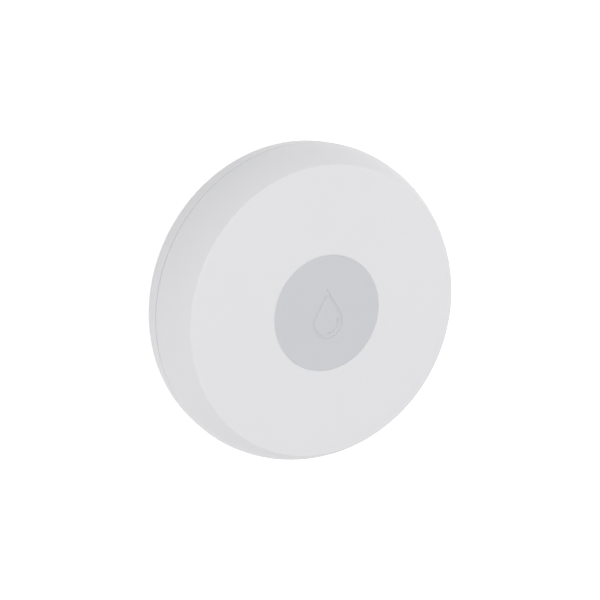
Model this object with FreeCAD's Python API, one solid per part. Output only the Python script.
# Wireless water leak sensor: a low round puck that lies on the floor with its probes down.
# The frame: origin on the floor under the puck's centre, +Z up out of the face, +Y to the top
# of the drop mark. Millimetres.
import FreeCAD
import Part
import math
import os

# Driving dimensions

# Whole puck
body_radius = 32.5
body_height = 14.2
foot_standoff = 1.3
seam_below_face = 9.0

# Cover shell
face_radius = 29.3
face_edge_round = 0.2
face_crown_width = 1.8
face_crown_drop = 0.06
side_bulge = 0.65
inner_bulge = 0.45
shell_wall = 1.8
face_thickness = 1.8
hole_edge_round = 0.04

# Seam between cover and base
seam_groove_width = 0.2
seam_groove_depth = 0.6
cover_seat_gap = 0.02
spigot_clearance = 0.2
spigot_height = 2.4
spigot_wall = 2.0
spigot_headroom = 0.3

# Seal ring on the spigot
seal_height = 1.15
seal_groove_width = 1.35
seal_groove_depth = 0.85
seal_groove_above_seam = 0.55
seal_to_cover = 0.02

# Base shell
heel_inset = 0.2
heel_round = 1.5
floor_thickness = 1.8
coin_notch_width = 9.0
coin_notch_height = 1.0
coin_notch_depth = 1.3
coin_notch_angle = -45.0

# Button cap
button_radius = 11.65
button_side_clearance = 0.06
button_top_thickness = 1.2
button_skirt_wall = 1.2
button_flange_width = 1.1
button_flange_thickness = 0.6
button_flange_clearance = 0.1
button_edge_round = 0.04
button_stem_radius = 2.2
button_stem_gap = 0.05
key_width = 2.4
key_length = 1.2
key_clearance = 0.2
key_count = 2

# Drop mark sunk in the button
drop_radius = 3.45
drop_centre_y = -1.8
drop_tip_y = 5.0
drop_line = 0.7
drop_depth = 0.15
glint_radius = 2.25
glint_line = 0.4
glint_start_angle = -85.0
glint_end_angle = 12.0

# Collar under the face, membrane, clamp ring and its screws
collar_clearance = 0.3
collar_width = 3.0
collar_height = 1.1
membrane_rim_thickness = 0.7
membrane_web_thickness = 0.4
membrane_web_drop = 0.15
membrane_pad_radius = 2.6
membrane_fold_radius = 8.9
membrane_fold_width = 2.0
membrane_fold_depth = 0.65
membrane_edge_inset = 0.2
clamp_ring_thickness = 1.0
clamp_screw_count = 4
clamp_screw_start_angle = 45.0
clamp_screw_radius = 0.6
clamp_screw_hole_clearance = 0.1
clamp_screw_grip = 2.2
clamp_screw_head_radius = 1.2
clamp_screw_head_height = 0.6
clamp_screw_drive_depth = 0.35
screw_slot_width = 0.4

# Circuit board
board_thickness = 1.2
board_edge_clearance = 1.1
board_standoff = 1.6
board_post_radius = 2.2
board_notch_radius = 1.5
board_notch_count = 2
locating_post_clearance = 0.2
locating_post_above = 0.6

# Feet
foot_radius = 3.6
foot_to_heel = 2.5
foot_recess_depth = 0.4
foot_recess_clearance = 0.15
foot_edge_round = 0.3
foot_count = 4

# Label on the underside
label_radius = 13.0
label_recess_depth = 0.2
label_thickness = 0.12
label_clearance = 0.2

# Probes: screw, seal and nut
probe_count = 4
probe_start_angle = 45.0
probe_boss_to_wall = 2.3
probe_radius = 1.25
probe_hole_clearance = 0.1
probe_head_radius = 2.5
probe_head_height = 1.0
probe_head_round = 0.5
probe_boss_radius = 3.2
probe_tip_length = 0.6
probe_drive_radius = 0.9
probe_drive_depth = 0.5
seal_washer_radius = 2.1
seal_washer_height = 0.7
seal_washer_clearance = 0.05
nut_across_flats = 5.0
nut_height = 2.0
nut_thread_clearance = 0.02

# Push switch
switch_side = 6.0
switch_body_height = 3.3
switch_plate_thickness = 0.2
switch_height = 5.0
switch_cavity_radius = 2.4
switch_cavity_floor = 1.0
switch_plunger_radius = 1.75
switch_flange_radius = 2.1
switch_flange_clearance = 0.1
switch_hole_clearance = 0.2
switch_corner_round = 0.4
switch_travel_gap = 0.25
dome_radius = 2.2
dome_rise = 0.5
dome_thickness = 0.12
dome_gap = 0.03
terminal_width = 0.7
terminal_thickness = 0.2
terminal_reach = 1.4
terminal_rise = 0.6
terminal_pitch = 4.5

# Coin cell
cell_radius = 10.0
cell_height = 3.2
cell_can_wall = 0.25
cell_can_lip = 0.8
cell_gasket_width = 0.85
cell_gasket_height = 2.2
cell_crimp_height = 0.15
cell_edge_round = 0.4

# Battery holder
holder_wall = 0.9
holder_cell_clearance = 0.15
holder_floor = 0.5
holder_wall_above_floor = 2.7
holder_notch_width = 9.0
clip_width = 5.0
clip_thickness = 0.25
clip_overlap = 3.4
clip_gap = 0.02
plate_radius = 6.0
plate_thickness = 0.2

# Radio module
radio_width = 15.0
radio_length = 17.0
radio_board_thickness = 0.8
shield_width = 12.4
shield_length = 11.0
shield_height = 2.0
shield_wall = 0.2
shield_inset = 0.7
radio_chip_side = 5.0
radio_chip_height = 0.9

# Small parts on the board
chip_to_board_edge = 11.4
chip_place_y = -3.0
sensing_chip_size = (3.9, 4.9, 1.35)
sensing_chip_lead_count = 4
sensing_chip_lead_pitch = 1.27
regulator_size = (1.6, 2.9, 1.1)
regulator_lead_count = 3
regulator_lead_pitch = 0.95
lead_width = 0.4
lead_thickness = 0.2
lead_reach = 1.0
chip_standoff = 0.15
light_size = (1.6, 0.8, 0.6)
light_to_switch = 3.4
crystal_size = (2.5, 3.2, 0.8)
crystal_to_radio = 1.35
crystal_from_radio_middle = 5.5
small_part_size = (1.6, 0.8, 0.7)
small_part_pitch = 2.4
edge_column_inset = 5.9
edge_column_count = 5
radio_column_gap = 0.8
radio_column_count = 4
radio_column_from_middle = -2.0

# Worked out heights
underside_z = foot_standoff
face_z = foot_standoff + body_height
seam_z = face_z - seam_below_face
face_inner_z = face_z - face_thickness
floor_z = underside_z + floor_thickness
spigot_top_z = seam_z + spigot_height
board_z = floor_z + board_standoff
board_top_z = board_z + board_thickness
plunger_top_z = board_top_z + switch_height
collar_z = face_inner_z - collar_height
membrane_rim_z = collar_z - membrane_rim_thickness
clamp_ring_z = membrane_rim_z - clamp_ring_thickness
web_top_z = collar_z - membrane_web_drop
web_z = web_top_z - membrane_web_thickness
pad_z = plunger_top_z + switch_travel_gap
stem_z = web_top_z + button_stem_gap
cell_z = board_top_z + holder_floor + plate_thickness
cell_top_z = cell_z + cell_height

# Worked out radii
bore_radius = body_radius - shell_wall
spigot_radius = bore_radius - spigot_clearance
cavity_radius = spigot_radius - spigot_wall
board_radius = cavity_radius - board_edge_clearance
button_hole_radius = button_radius + button_side_clearance
flange_radius = button_radius + button_flange_width
collar_inner_radius = flange_radius + collar_clearance
collar_outer_radius = collar_inner_radius + collar_width
clamp_screw_circle = collar_inner_radius + collar_width / 2
holder_pocket_radius = cell_radius + holder_cell_clearance
holder_radius = holder_pocket_radius + holder_wall
probe_circle_radius = cavity_radius - probe_boss_to_wall - probe_boss_radius
foot_circle_radius = body_radius - heel_inset - heel_round - foot_to_heel - foot_radius

# Worked out places: the cell and the radio each lie midway between the switch and the wall
yard_middle = (switch_side / 2 + cavity_radius) / 2
holder_centre_y = yard_middle
radio_centre_y = -yard_middle
chip_place_x = board_radius - chip_to_board_edge
sensing_chip_place = (-chip_place_x, chip_place_y)
regulator_place = (chip_place_x, chip_place_y)
crystal_place = (
    -(radio_width / 2 + crystal_to_radio + crystal_size[0] / 2),
    radio_centre_y + crystal_from_radio_middle,
)

AXIS = FreeCAD.Vector(0, 0, 1)
ORIGIN = FreeCAD.Vector(0, 0, 0)


# Shape helpers
def on_profile(point):
    """A point (radius, height) of an outline as a vector in the XZ plane."""
    return FreeCAD.Vector(point[0], 0, point[1])


def turned(start, *steps):
    """Solid of revolution. A step is the next corner, or (way point, corner) for an arc."""
    edges = []
    here = start
    for step in steps + (start,):
        if isinstance(step[0], tuple):
            way, corner = step
            arc = Part.Arc(on_profile(here), on_profile(way), on_profile(corner))
            edges.append(arc.toShape())
        else:
            corner = step
            edges.append(Part.makeLine(on_profile(here), on_profile(corner)))
        here = corner
    return Part.Face(Part.Wire(edges)).revolve(ORIGIN, AXIS, 360)


def bulged(start, corner, bulge):
    """An arc step whose middle stands off the chord by the bulge, to the right of travel."""
    run = (corner[0] - start[0], corner[1] - start[1])
    length = math.hypot(run[0], run[1])
    middle_r = (start[0] + corner[0]) / 2 + bulge * run[1] / length
    middle_z = (start[1] + corner[1]) / 2 - bulge * run[0] / length
    return ((middle_r, middle_z), corner)


def disc(radius, low, high, place=(0, 0)):
    """A cylinder between two heights."""
    return Part.makeCylinder(radius, high - low, FreeCAD.Vector(place[0], place[1], low))


def ring(outer, inner, low, high, place=(0, 0)):
    """A tube between two heights."""
    return disc(outer, low, high, place).cut(disc(inner, low, high, place))


def block(width, depth, low, high, place=(0, 0)):
    """A box centred on a place."""
    corner = FreeCAD.Vector(place[0] - width / 2, place[1] - depth / 2, low)
    return Part.makeBox(width, depth, high - low, corner)


def polar(radius, angle):
    """A place at a radius and an angle in degrees."""
    turn = math.radians(angle)
    return (radius * math.cos(turn), radius * math.sin(turn))


def turns(count, start=0.0):
    """Evenly spaced angles of a full turn."""
    return [start + 360 * index / count for index in range(count)]


def places(count, radius, start=0.0):
    """Evenly spaced places on a circle."""
    return [polar(radius, angle) for angle in turns(count, start)]


def moved(shape, place):
    """A copy of the shape, moved across."""
    copy = shape.copy()
    copy.translate(FreeCAD.Vector(place[0], place[1], 0))
    return copy


def spun(shape, angle):
    """A copy of the shape, turned about the puck's axis."""
    copy = shape.copy()
    copy.rotate(ORIGIN, AXIS, angle)
    return copy


def circle_edges(shape, radius, height):
    """The circular edges of a shape that lie at a height and have a radius."""
    found = []
    for edge in shape.Edges:
        curve = edge.Curve
        if isinstance(curve, Part.Circle):
            level = abs(curve.Center.z - height) < 1e-4
            if level and abs(curve.Radius - radius) < 1e-4:
                found.append(edge)
    return found


def rounded(shape, radius, height, size):
    """The shape with its circular edge at that radius and height rounded."""
    return shape.makeFillet(size, circle_edges(shape, radius, height))


def upright_edges(shape):
    """The straight edges that run along Z."""
    found = []
    for edge in shape.Edges:
        if isinstance(edge.Curve, Part.Line) and abs(abs(edge.tangentAt(edge.FirstParameter).z) - 1) < 1e-6:
            found.append(edge)
    return found


# Cover body
def cover_shell():
    """White dish: flat face, curved side, hole for the button and the collar under it."""
    rim_z = seam_z
    inner_start = (bore_radius, spigot_top_z + spigot_headroom)
    inner_corner = (face_radius - shell_wall, face_inner_z)
    outer_start = (body_radius, rim_z)
    outer_corner = (face_radius, face_z - face_crown_drop)
    shell = turned(
        (button_hole_radius, face_inner_z),
        inner_corner,
        bulged(inner_corner, inner_start, -inner_bulge),
        (bore_radius, rim_z),
        outer_start,
        bulged(outer_start, outer_corner, side_bulge),
        (face_radius - face_crown_width, face_z),
        (button_hole_radius, face_z),
    )
    shell = rounded(shell, face_radius, face_z - face_crown_drop, face_edge_round)
    shell = rounded(shell, button_hole_radius, face_z, hole_edge_round)
    shell = shell.fuse(ring(collar_outer_radius, collar_inner_radius, collar_z, face_inner_z))
    slot_radius = flange_radius + key_length + key_clearance
    slot_width = key_width + 2 * key_clearance
    for angle in turns(key_count):
        slot = block(slot_radius, slot_width, collar_z, face_inner_z, (slot_radius / 2, 0))
        shell = shell.cut(spun(slot, angle))
    for place in places(clamp_screw_count, clamp_screw_circle, clamp_screw_start_angle):
        top = membrane_rim_z + clamp_screw_grip
        shell = shell.cut(disc(clamp_screw_radius, collar_z, top, place))
    return shell.removeSplitter()


def drop_outline(inset):
    """Closed face of the drop, moved in from its edge by the inset."""
    radius = drop_radius - inset
    reach = drop_tip_y - drop_centre_y
    half_tip = math.asin(drop_radius / reach)
    tip_y = drop_tip_y - inset / math.sin(half_tip)
    side_x = radius * math.cos(half_tip)
    side_y = drop_centre_y + radius * math.sin(half_tip)
    tip = FreeCAD.Vector(0, tip_y, 0)
    right = FreeCAD.Vector(side_x, side_y, 0)
    left = FreeCAD.Vector(-side_x, side_y, 0)
    bottom = FreeCAD.Vector(0, drop_centre_y - radius, 0)
    bowl = Part.Arc(left, bottom, right).toShape()
    wire = Part.Wire([Part.makeLine(tip, left), bowl, Part.makeLine(right, tip)])
    return Part.Face(wire)


def glint_bar():
    """The short curved bar inside the drop, with round ends."""
    centre = (0, drop_centre_y)
    bar = ring(glint_radius + glint_line / 2, glint_radius - glint_line / 2, 0, drop_depth, centre)
    sweep = glint_end_angle - glint_start_angle
    sector = Part.makeCylinder(drop_radius, drop_depth, ORIGIN, AXIS, sweep)
    sector.rotate(ORIGIN, AXIS, glint_start_angle)
    bar = bar.common(moved(sector, centre))
    for angle in (glint_start_angle, glint_end_angle):
        end = polar(glint_radius, angle)
        bar = bar.fuse(disc(glint_line / 2, 0, drop_depth, (end[0], end[1] + drop_centre_y)))
    return bar


def drop_mark():
    """Solid of the drop's line and its glint, as deep as the mark is sunk."""
    depth = FreeCAD.Vector(0, 0, drop_depth)
    line = drop_outline(0).extrude(depth).cut(drop_outline(drop_line).extrude(depth))
    mark = line.fuse(glint_bar())
    mark.translate(FreeCAD.Vector(0, 0, face_z - drop_depth))
    return mark


def button_cap():
    """Grey disc, level with the face, held up under the hole by its flange and kept from turning."""
    flange_top = face_inner_z - button_flange_clearance
    flange_z = flange_top - button_flange_thickness
    top_under = face_z - button_top_thickness
    skirt_inner = button_radius - button_skirt_wall
    cap = turned(
        (0, stem_z),
        (button_stem_radius, stem_z),
        (button_stem_radius, top_under),
        (skirt_inner, top_under),
        (skirt_inner, flange_z),
        (flange_radius, flange_z),
        (flange_radius, flange_top),
        (button_radius, flange_top),
        (button_radius, face_z),
        (0, face_z),
    )
    cap = rounded(cap, button_radius, face_z, button_edge_round)
    lug_reach = flange_radius + key_length
    lug_start = button_radius
    for angle in turns(key_count):
        middle = (lug_start + lug_reach) / 2
        lug = block(lug_reach - lug_start, key_width, flange_z, flange_top, (middle, 0))
        cap = cap.fuse(spun(lug, angle))
    cap = cap.cut(drop_mark())
    return cap.removeSplitter()


def button_membrane():
    """Silicone sheet under the button: clamped rim, thin web with a fold, pad over the switch."""
    rim_outer = collar_outer_radius - membrane_edge_inset
    half_fold = membrane_fold_width / 2
    fold_in = membrane_fold_radius - half_fold
    fold_out = membrane_fold_radius + half_fold
    fold_z = web_top_z - membrane_fold_depth
    under_z = fold_z - membrane_web_thickness
    wide = membrane_web_thickness / 2
    sheet = turned(
        (0, pad_z),
        (membrane_pad_radius, pad_z),
        (membrane_pad_radius, web_z),
        (fold_in - wide, web_z),
        ((membrane_fold_radius, under_z), (fold_out + wide, web_z)),
        (collar_inner_radius, web_z),
        (collar_inner_radius, membrane_rim_z),
        (rim_outer, membrane_rim_z),
        (rim_outer, collar_z),
        (collar_inner_radius, collar_z),
        (collar_inner_radius, web_top_z),
        (fold_out, web_top_z),
        ((membrane_fold_radius, fold_z), (fold_in, web_top_z)),
        (0, web_top_z),
    )
    hole = clamp_screw_radius + clamp_screw_hole_clearance
    for place in places(clamp_screw_count, clamp_screw_circle, clamp_screw_start_angle):
        sheet = sheet.cut(disc(hole, membrane_rim_z, collar_z, place))
    return sheet


def screw_cone(place, margin):
    """Countersunk head of a clamp screw, wider all round by the margin."""
    head = clamp_screw_head_radius + margin
    neck = clamp_screw_radius + margin
    low = FreeCAD.Vector(place[0], place[1], clamp_ring_z)
    return Part.makeCone(head, neck, clamp_screw_head_height, low, AXIS)


def membrane_clamp_ring():
    """Flat ring that squeezes the membrane's rim against the collar."""
    plate = ring(collar_outer_radius, collar_inner_radius, clamp_ring_z, membrane_rim_z)
    hole = clamp_screw_radius + clamp_screw_hole_clearance
    for place in places(clamp_screw_count, clamp_screw_circle, clamp_screw_start_angle):
        plate = plate.cut(disc(hole, clamp_ring_z, membrane_rim_z, place))
        plate = plate.cut(screw_cone(place, clamp_screw_hole_clearance))
    return plate


def clamp_ring_screws():
    """Countersunk screws with a straight slot, driven up into the collar."""
    screws = []
    for place in places(clamp_screw_count, clamp_screw_circle, clamp_screw_start_angle):
        tip_z = membrane_rim_z + clamp_screw_grip
        screw = disc(clamp_screw_radius, clamp_ring_z, tip_z, place).fuse(screw_cone(place, 0))
        slot_top = clamp_ring_z + clamp_screw_drive_depth
        slot = block(2 * clamp_screw_head_radius, screw_slot_width, clamp_ring_z, slot_top, place)
        screws.append(screw.cut(slot))
    return screws


# Base body
def base_shell():
    """White tray: floor, rim, and the spigot that the cover slides over."""
    rim_radius = body_radius - seam_groove_depth
    ledge_z = seam_z - cover_seat_gap
    groove_z = seam_z - seam_groove_width
    heel_radius = body_radius - heel_inset
    heel_top = (heel_radius, underside_z + heel_round)
    groove_low = seam_z + seal_groove_above_seam
    groove_high = groove_low + seal_groove_width
    groove_radius = spigot_radius - seal_groove_depth
    slant = heel_round * (1 - math.sqrt(0.5))
    heel_way = (heel_radius - slant, underside_z + slant)
    shell = turned(
        (0, underside_z),
        (heel_radius - heel_round, underside_z),
        (heel_way, heel_top),
        bulged(heel_top, (body_radius, groove_z), heel_inset / 8),
        (rim_radius, groove_z),
        (rim_radius, ledge_z),
        (spigot_radius, ledge_z),
        (spigot_radius, groove_low),
        (groove_radius, groove_low),
        (groove_radius, groove_high),
        (spigot_radius, groove_high),
        (spigot_radius, spigot_top_z),
        (cavity_radius, spigot_top_z),
        (cavity_radius, floor_z),
        (0, floor_z),
    )
    shell = shell.fuse(disc(board_post_radius, floor_z, board_z))
    for place in places(probe_count, probe_circle_radius, probe_start_angle):
        shell = shell.fuse(disc(probe_boss_radius, floor_z, board_z, place))
    post_radius = board_notch_radius - locating_post_clearance
    for place in places(board_notch_count, board_radius):
        post = disc(post_radius, floor_z, board_top_z + locating_post_above, place)
        shell = shell.fuse(post)
    for place in places(probe_count, probe_circle_radius, probe_start_angle):
        shell = shell.cut(disc(probe_radius + probe_hole_clearance, underside_z, board_z, place))
        washer_hole = seal_washer_radius + seal_washer_clearance
        shell = shell.cut(disc(washer_hole, underside_z, underside_z + seal_washer_height, place))
    for place in places(foot_count, foot_circle_radius):
        recess = foot_radius + foot_recess_clearance
        shell = shell.cut(disc(recess, underside_z, underside_z + foot_recess_depth, place))
    label_hole = label_radius + label_clearance
    shell = shell.cut(disc(label_hole, underside_z, underside_z + label_recess_depth))
    notch = block(
        2 * coin_notch_depth,
        coin_notch_width,
        ledge_z - coin_notch_height,
        ledge_z,
        (body_radius, 0),
    )
    shell = shell.cut(spun(notch, coin_notch_angle))
    return shell.removeSplitter()


def seal_ring():
    """Rubber ring in the spigot's groove, pressed to the cover's bore."""
    inner = spigot_radius - seal_groove_depth
    outer = bore_radius - seal_to_cover
    middle = seam_z + seal_groove_above_seam + seal_groove_width / 2
    low = middle - seal_height / 2
    high = middle + seal_height / 2
    crown = (outer - inner) / 4
    return turned(
        (inner, low + crown),
        (inner + crown, low),
        (outer - crown, low),
        ((outer, middle), (outer - crown, high)),
        (inner + crown, high),
        (inner, high - crown),
    )


def rubber_feet():
    """Discs stuck in shallow recesses of the underside; the puck stands on them."""
    feet = []
    for place in places(foot_count, foot_circle_radius):
        foot = disc(foot_radius, 0, underside_z + foot_recess_depth, place)
        feet.append(rounded(foot, foot_radius, 0, foot_edge_round))
    return feet


def blank_label():
    """Plain sheet in its recess on the underside."""
    top = underside_z + label_recess_depth
    return disc(label_radius, top - label_thickness, top)


def probe_screws():
    """Stainless screws with low round heads just clear of the floor."""
    screws = []
    head_z = underside_z - probe_head_height
    tip_z = board_top_z + nut_height + probe_tip_length
    for place in places(probe_count, probe_circle_radius, probe_start_angle):
        head = disc(probe_head_radius, head_z, underside_z, place)
        head = rounded(head, probe_head_radius, head_z, probe_head_round)
        socket = hexagon(2 * probe_drive_radius, head_z, head_z + probe_drive_depth, place)
        screw = head.cut(socket).fuse(disc(probe_radius, underside_z, tip_z, place))
        screws.append(screw.removeSplitter())
    return screws


def hexagon(across_flats, low, high, place):
    """A six-sided prism."""
    corner_radius = across_flats / 2 / math.cos(math.pi / 6)
    corners = [FreeCAD.Vector(place[0] + x, place[1] + y, low)
               for x, y in places(6, corner_radius)]
    wire = Part.makePolygon(corners + corners[:1])
    return Part.Face(wire).extrude(FreeCAD.Vector(0, 0, high - low))


def probe_seals():
    """Rubber washers under the heads, sunk in the underside."""
    inner = probe_radius + seal_washer_clearance
    top = underside_z + seal_washer_height
    return [ring(seal_washer_radius, inner, underside_z, top, place)
            for place in places(probe_count, probe_circle_radius, probe_start_angle)]


def probe_nuts():
    """Nuts on the board's pads: they hold the board down and carry the signal."""
    nuts = []
    top = board_top_z + nut_height
    for place in places(probe_count, probe_circle_radius, probe_start_angle):
        nut = hexagon(nut_across_flats, board_top_z, top, place)
        nuts.append(nut.cut(disc(probe_radius + nut_thread_clearance, board_top_z, top, place)))
    return nuts


def circuit_board():
    """Round board on the bosses, with holes for the probes and two notches in its edge."""
    board = disc(board_radius, board_z, board_top_z)
    for place in places(probe_count, probe_circle_radius, probe_start_angle):
        board = board.cut(disc(probe_radius + probe_hole_clearance, board_z, board_top_z, place))
    for place in places(board_notch_count, board_radius):
        board = board.cut(disc(board_notch_radius, board_z, board_top_z, place))
    return board


# Push switch in the middle of the board
def switch_housing():
    """Square moulded body with a round well for the dome and the plunger."""
    top = board_top_z + switch_body_height
    housing = block(switch_side, switch_side, board_top_z, top)
    housing = housing.makeFillet(switch_corner_round, upright_edges(housing))
    return housing.cut(disc(switch_cavity_radius, board_top_z + switch_cavity_floor, top))


def switch_cover_plate():
    """Steel plate on the housing, with the plunger's hole."""
    low = board_top_z + switch_body_height
    high = low + switch_plate_thickness
    plate = block(switch_side, switch_side, low, high)
    plate = plate.makeFillet(switch_corner_round, upright_edges(plate))
    return plate.cut(disc(switch_plunger_radius + switch_hole_clearance, low, high))


def switch_dome():
    """Snap dome on the well's floor."""
    low = board_top_z + switch_cavity_floor
    inner_side = dome_radius - dome_thickness
    sphere_radius = (dome_radius ** 2 + dome_rise ** 2) / (2 * dome_rise)
    quarter = math.asin(dome_radius / sphere_radius) / 2
    way_r = sphere_radius * math.sin(quarter)
    way_z = low + dome_rise - sphere_radius * (1 - math.cos(quarter))
    return turned(
        (0, low + dome_rise - dome_thickness),
        ((way_r, way_z - dome_thickness), (inner_side, low)),
        (dome_radius, low),
        ((way_r, way_z), (0, low + dome_rise)),
    )


def switch_plunger():
    """The switch's own small button, kept in by its flange under the plate."""
    flange_z = board_top_z + switch_cavity_floor + dome_rise + dome_gap
    flange_top = board_top_z + switch_body_height - switch_flange_clearance
    flange = disc(switch_flange_radius, flange_z, flange_top)
    return flange.fuse(disc(switch_plunger_radius, flange_top, plunger_top_z)).removeSplitter()


def lead(side_x, row_y, width, thickness, reach, rise, direction):
    """One bent lead: up against the body's side, flat on the board."""
    foot_middle = side_x + direction * reach / 2
    foot = block(reach, width, board_top_z, board_top_z + thickness, (foot_middle, row_y))
    post_middle = side_x + direction * thickness / 2
    post = block(thickness, width, board_top_z, board_top_z + rise, (post_middle, row_y))
    return foot.fuse(post).removeSplitter()


def switch_terminals():
    """Four leads, two on each side of the switch."""
    leads = []
    for direction in (-1, 1):
        for row in (-1, 1):
            side = direction * switch_side / 2
            row_y = row * terminal_pitch / 2
            leads.append(lead(side, row_y, terminal_width, terminal_thickness,
                              terminal_reach, terminal_rise, direction))
    return leads


# Coin cell and its holder
def battery_holder():
    """Open moulded cup for the cell, with a notch for a fingertip and room for the clips."""
    place = (0, holder_centre_y)
    pocket_z = board_top_z + holder_floor
    top = pocket_z + plate_thickness + holder_wall_above_floor
    holder = disc(holder_radius, board_top_z, top, place)
    holder = holder.cut(disc(holder_pocket_radius, pocket_z, top, place))
    notch_z = pocket_z + plate_thickness
    notch = block(holder_notch_width, 2 * holder_wall, notch_z, top,
                  (0, holder_centre_y + holder_radius))
    holder = holder.cut(notch)
    slot_width = clip_width + 2 * holder_cell_clearance
    for side in (-1, 1):
        inner = holder_pocket_radius * 0.5
        middle = side * (inner + holder_radius) / 2
        slot = block(holder_radius - inner, slot_width, pocket_z, top, (middle, holder_centre_y))
        holder = holder.cut(slot)
    return holder.removeSplitter()


def battery_positive_clips():
    """Two bent strips beside the cell that hook over its top."""
    clips = []
    low = board_top_z + holder_floor
    top = cell_top_z + clip_gap + clip_thickness
    outer = holder_radius
    for side in (-1, 1):
        post = block(clip_thickness, clip_width, low, top,
                     (side * (outer - clip_thickness / 2), holder_centre_y))
        arm_inner = cell_radius - clip_overlap
        arm_middle = side * (arm_inner + outer) / 2
        arm = block(outer - arm_inner, clip_width, top - clip_thickness, top,
                    (arm_middle, holder_centre_y))
        clips.append(post.fuse(arm).removeSplitter())
    return clips


def battery_negative_plate():
    """Round spring plate under the cell."""
    low = board_top_z + holder_floor
    return disc(plate_radius, low, low + plate_thickness, (0, holder_centre_y))


def cell_can():
    """Steel can of the cell, open side down, its edge crimped over the gasket."""
    wall_inner = cell_radius - cell_can_wall
    lip_inner = cell_radius - cell_can_lip
    lip_z = cell_z + cell_crimp_height
    can = turned(
        (0, cell_top_z),
        (cell_radius, cell_top_z),
        (cell_radius, lip_z),
        (lip_inner, lip_z),
        (lip_inner, lip_z + cell_can_wall),
        (wall_inner, lip_z + cell_can_wall),
        (wall_inner, cell_top_z - cell_can_wall),
        (0, cell_top_z - cell_can_wall),
    )
    can = rounded(can, cell_radius, cell_top_z, cell_edge_round)
    return moved(can, (0, holder_centre_y))


def cell_gasket():
    """Plastic ring that parts the can from the cap."""
    wall_inner = cell_radius - cell_can_wall
    inner = wall_inner - cell_gasket_width
    lip_inner = cell_radius - cell_can_lip
    lip_z = cell_z + cell_crimp_height
    gasket = turned(
        (inner, lip_z),
        (lip_inner, lip_z),
        (lip_inner, lip_z + cell_can_wall),
        (wall_inner, lip_z + cell_can_wall),
        (wall_inner, lip_z + cell_gasket_height),
        (inner, lip_z + cell_gasket_height),
    )
    return moved(gasket, (0, holder_centre_y))


def cell_cap():
    """Steel cap of the cell, facing down on the negative plate."""
    outer = cell_radius - cell_can_wall - cell_gasket_width
    inner = outer - cell_can_wall
    top = cell_z + cell_crimp_height + cell_gasket_height
    cap = turned(
        (0, cell_z),
        (outer, cell_z),
        (outer, top),
        (inner, top),
        (inner, cell_z + cell_can_wall),
        (0, cell_z + cell_can_wall),
    )
    return moved(cap, (0, holder_centre_y))


def cell_core():
    """The cell's pressed electrodes and separator, as one fill."""
    cap_inner = cell_radius - cell_gasket_width - 2 * cell_can_wall
    wall_inner = cell_radius - cell_can_wall
    shoulder = cell_z + cell_crimp_height + cell_gasket_height
    core = turned(
        (0, cell_z + cell_can_wall),
        (cap_inner, cell_z + cell_can_wall),
        (cap_inner, shoulder),
        (wall_inner, shoulder),
        (wall_inner, cell_top_z - cell_can_wall),
        (0, cell_top_z - cell_can_wall),
    )
    return moved(core, (0, holder_centre_y))


# Radio module
def shield_place():
    """Middle of the shield can, near the module's inner end."""
    inner_end = radio_centre_y + radio_length / 2 - shield_inset
    return (0, inner_end - shield_length / 2)


def radio_board():
    """Thin board soldered flat on the main board."""
    top = board_top_z + radio_board_thickness
    return block(radio_width, radio_length, board_top_z, top, (0, radio_centre_y))


def radio_shield():
    """Pressed tin lid over the radio's chip."""
    low = board_top_z + radio_board_thickness
    lid = block(shield_width, shield_length, low, low + shield_height, shield_place())
    hollow = block(shield_width - 2 * shield_wall, shield_length - 2 * shield_wall,
                   low, low + shield_height - shield_wall, shield_place())
    return lid.cut(hollow)


def radio_chip():
    """The chip under the lid."""
    low = board_top_z + radio_board_thickness
    return block(radio_chip_side, radio_chip_side, low, low + radio_chip_height, shield_place())


# Small parts on the board
def raised_chip(place, size):
    """A moulded chip body that stands a little off the board."""
    low = board_top_z + chip_standoff
    return block(size[0], size[1], low, board_top_z + size[2], place)


def sensing_chip():
    """Compares the probes' current and wakes the radio."""
    return raised_chip(sensing_chip_place, sensing_chip_size)


def voltage_regulator():
    """Keeps the supply steady as the cell runs down."""
    return raised_chip(regulator_place, regulator_size)


def chip_leads():
    """Leads of the sensing chip and of the regulator, along both sides of each."""
    leads = []
    rows = ((sensing_chip_place, sensing_chip_size, sensing_chip_lead_count, sensing_chip_lead_pitch),
            (regulator_place, regulator_size, regulator_lead_count, regulator_lead_pitch))
    for place, size, count, pitch in rows:
        for direction in (-1, 1):
            for index in range(count):
                row_y = place[1] + (index - (count - 1) / 2) * pitch
                side = place[0] + direction * size[0] / 2
                leads.append(lead(side, row_y, lead_width, lead_thickness,
                                  lead_reach, size[2] / 2, direction))
    return leads


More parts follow.
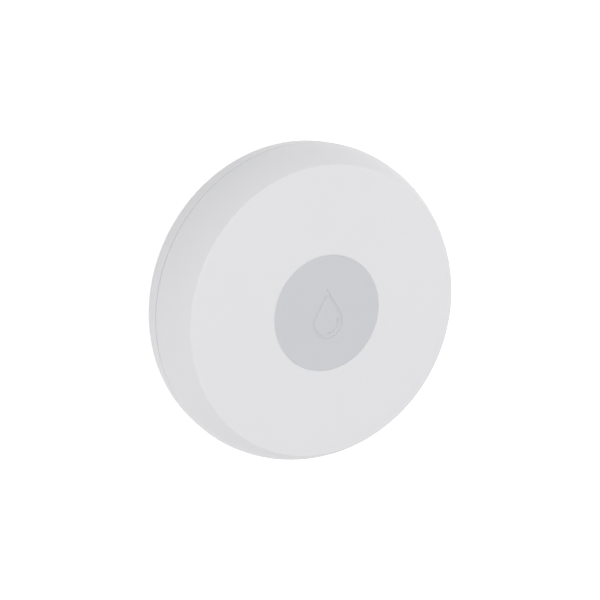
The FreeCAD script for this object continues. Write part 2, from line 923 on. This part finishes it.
def board_part(size, place):
    """A small block soldered flat on the board."""
    return block(size[0], size[1], board_top_z, board_top_z + size[2], place)


def status_lights():
    """Two lights beside the switch, under the button."""
    light_x = switch_side / 2 + light_to_switch
    return [board_part(light_size, (side * light_x, 0)) for side in (-1, 1)]


def crystal():
    """Clock crystal in its can."""
    return board_part(crystal_size, crystal_place)


def column_of_parts(x, middle_y, count):
    """Small parts in a straight column along Y."""
    parts = []
    for index in range(count):
        row_y = middle_y + (index - (count - 1) / 2) * small_part_pitch
        parts.append(board_part(small_part_size, (x, row_y)))
    return parts


def columns_on_side(side):
    """One column near the board's edge and one beside the radio, left (-1) or right (1)."""
    edge_x = side * (board_radius - edge_column_inset)
    radio_x = side * (radio_width / 2 + radio_column_gap + small_part_size[0] / 2)
    radio_y = radio_centre_y + radio_column_from_middle
    at_edge = column_of_parts(edge_x, 0, edge_column_count)
    return at_edge + column_of_parts(radio_x, radio_y, radio_column_count)


def capacitors():
    """Chip capacitors of the supply and of the radio."""
    return columns_on_side(-1)


def resistors():
    """Chip resistors of the probe circuit and of the lights."""
    return columns_on_side(1)


NODES = (
    cover_shell, button_cap, button_membrane, membrane_clamp_ring, clamp_ring_screws,
    base_shell, seal_ring, rubber_feet, blank_label, probe_screws, probe_seals, probe_nuts,
    circuit_board, switch_housing, switch_cover_plate, switch_dome, switch_plunger,
    switch_terminals, battery_holder, battery_positive_clips, battery_negative_plate,
    cell_can, cell_gasket, cell_cap, cell_core, radio_board, radio_shield, radio_chip,
    sensing_chip, voltage_regulator, chip_leads, status_lights, crystal, capacitors, resistors,
)


def write_part(name, shape):
    """Write one sub-part, a solid or a list of separate solids, and print what it is."""
    solids = shape if isinstance(shape, list) else [shape]
    body = Part.makeCompound(solids) if len(solids) > 1 else solids[0]
    body.exportStep(os.path.join("parts", name + ".step"))
    print(f"{name:24} solids {len(body.Solids):3} volume {body.Volume:10.3f} valid {body.isValid()}")


os.makedirs("parts", exist_ok=True)
for make in NODES:
    write_part(make.__name__, make())
